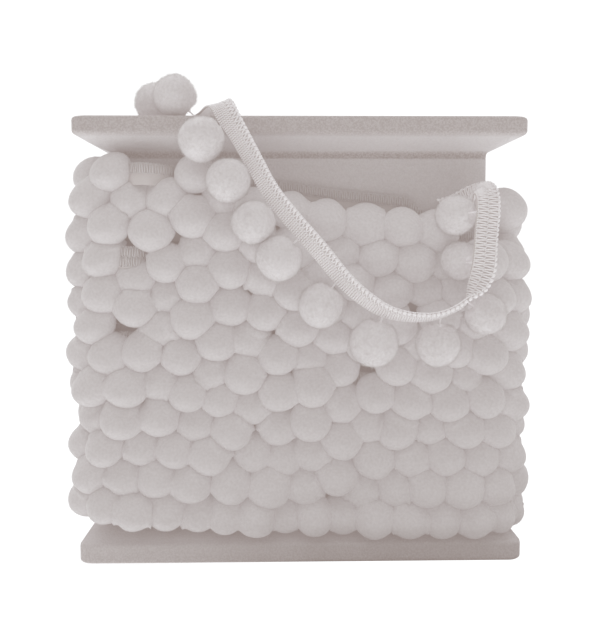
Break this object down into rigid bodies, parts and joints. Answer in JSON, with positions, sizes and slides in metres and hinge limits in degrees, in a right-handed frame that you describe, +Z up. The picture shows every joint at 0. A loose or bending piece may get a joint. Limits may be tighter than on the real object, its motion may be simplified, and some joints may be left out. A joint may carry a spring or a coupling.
{
  "type": "pompom fringe trim on foam spool",
  "caption": "Pompom fringe trim wound in many turns on a square foam spool, with a loose end looped down the front and over the top flange.",
  "frame": {"origin": "middle of the spool's flat bottom face", "axes": "+Z up along the spool, +X to the right, -Y the front where the loose end hangs"},
  "size_m": [0.1258, 0.1388, 0.1308],
  "materials": {
    "foam": "fine beaded expanded foam, matt",
    "pompom": "short dense trimmed yarn pile",
    "tape": "ribbed woven tape with a looped edge"
  },
  "bodies": {
    "root": {"spool_bottom_flange": "foam", "spool_core": "foam", "spool_top_flange": "foam", "wound_trim": "pompom", "loose_tape": "tape", "pompom_01": "pompom", "pompom_02": "pompom", "pompom_03": "pompom", "pompom_04": "pompom", "pompom_05": "pompom", "pompom_06": "pompom", "pompom_07": "pompom", "pompom_08": "pompom", "pompom_09": "pompom", "pompom_10": "pompom", "pompom_11": "pompom", "pompom_12": "pompom"}
  },
  "joints": []
}
